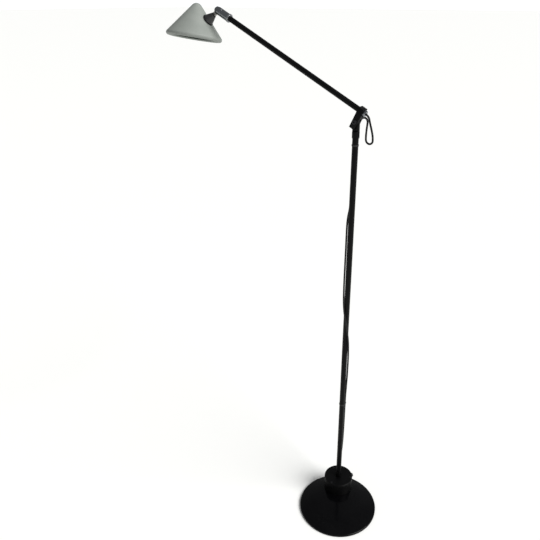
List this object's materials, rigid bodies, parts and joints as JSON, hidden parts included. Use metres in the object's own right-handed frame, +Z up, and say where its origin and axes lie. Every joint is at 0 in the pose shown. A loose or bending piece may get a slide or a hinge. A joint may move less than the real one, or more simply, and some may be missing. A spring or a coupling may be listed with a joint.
{
  "type": "floor lamp",
  "caption": "Floor lamp with a domed disc base, a transformer hub, a slim post, a tilting arm and a small cone shade that rolls and tilts.",
  "frame": {"origin": "on the post's axis at floor level, on the underside of the base pad", "axes": "+Z up the post, the arm reaches towards -X in the plane y = 0, the arm's elbow bolt runs along Y"},
  "size_m": [0.7285, 0.244, 1.4875],
  "materials": {
    "pad_rubber": "matt",
    "weight_iron": "rough as cast",
    "base_enamel": "gloss black enamel",
    "hub_enamel": "satin black powder coat",
    "tube_enamel": "satin black powder coat",
    "zinc_steel": "zinc plated",
    "black_steel": "black oxide",
    "spring_steel": "oiled",
    "chrome_plate": "bright chrome plate",
    "steel_eye": "satin nickel plate",
    "nylon": "moulded",
    "fibre": "pressed fibre",
    "winding": "film wrapped",
    "black_plastic": "moulded satin",
    "lead_sheath": "satin sheath",
    "wire_sheath": "satin sheath",
    "shade_enamel": "pale grey enamel, matt",
    "steatite": "unglazed",
    "quartz": "clear",
    "pin_metal": "nickel plated",
    "float_glass": "frosted"
  },
  "bodies": {
    "base": {"base_pad": "pad_rubber", "base_weight": "weight_iron", "base_cover": "base_enamel", "hub_bolts": "zinc_steel", "hub_housing": "hub_enamel", "hub_lid": "hub_enamel", "lid_screws": "black_steel", "post_socket": "zinc_steel", "lower_bush": "nylon", "upper_bush": "nylon", "transformer": "winding", "transformer_washer": "zinc_steel", "transformer_nut": "zinc_steel", "swivel_stop": "zinc_steel", "terminal_block": "nylon", "mains_gland": "black_plastic", "gland_nut": "zinc_steel", "lead_gland": "black_plastic", "lead_base": "lead_sheath"},
    "post": {"post_lower": "tube_enamel", "post_joiner": "zinc_steel", "post_upper": "tube_enamel", "post_head": "tube_enamel", "stop_pin": "zinc_steel", "lead_ties": "black_plastic", "lead_post": "lead_sheath", "lead_loop": "lead_sheath"},
    "arm": {"elbow_block": "tube_enamel", "pivot_bolt": "black_steel", "friction_washers": "fibre", "spring_washer": "spring_steel", "pivot_nut": "black_steel", "arm_tube": "tube_enamel", "arm_screw": "black_steel", "arm_ferrule": "chrome_plate", "arm_wires": "wire_sheath", "tip_plug": "nylon"},
    "tip": {"tip_sleeve": "chrome_plate", "sleeve_collar": "chrome_plate", "sleeve_screw": "black_steel", "tip_knuckle": "chrome_plate", "head_pin": "black_steel"},
    "head": {"stem_eye": "steel_eye", "stem_grip": "black_plastic", "stem_flange": "steel_eye", "stem_nut": "zinc_steel", "shade": "shade_enamel", "lamp_holder": "steatite", "halogen_capsule": "quartz", "capsule_pins": "pin_metal", "cover_glass": "float_glass", "glass_clips": "zinc_steel"}
  },
  "joints": [
    {"name": "post_swivel", "type": "hinge", "parent": "base", "child": "post", "pos_m": [0, 0, 0.065], "axis": [0, 0, 1], "range_deg": [-90, 90], "deforming": ["lead_base"]},
    {"name": "elbow_tilt", "type": "hinge", "parent": "post", "child": "arm", "pos_m": [0, 0, 1.23], "axis": [0, 1, 0], "range_deg": [-66, 54], "deforming": ["lead_loop"]},
    {"name": "head_roll", "type": "hinge", "parent": "arm", "child": "tip", "pos_m": [-0.42813, 0, 1.46997], "axis": [-0.8988, 0, 0.4384], "range_deg": [-150, 150]},
    {"name": "head_tilt", "type": "hinge", "parent": "tip", "child": "head", "pos_m": [-0.42985, -0.00083, 1.46645], "axis": [-0.0911, 0.9781, -0.1869], "range_deg": [-40, 60]}
  ]
}
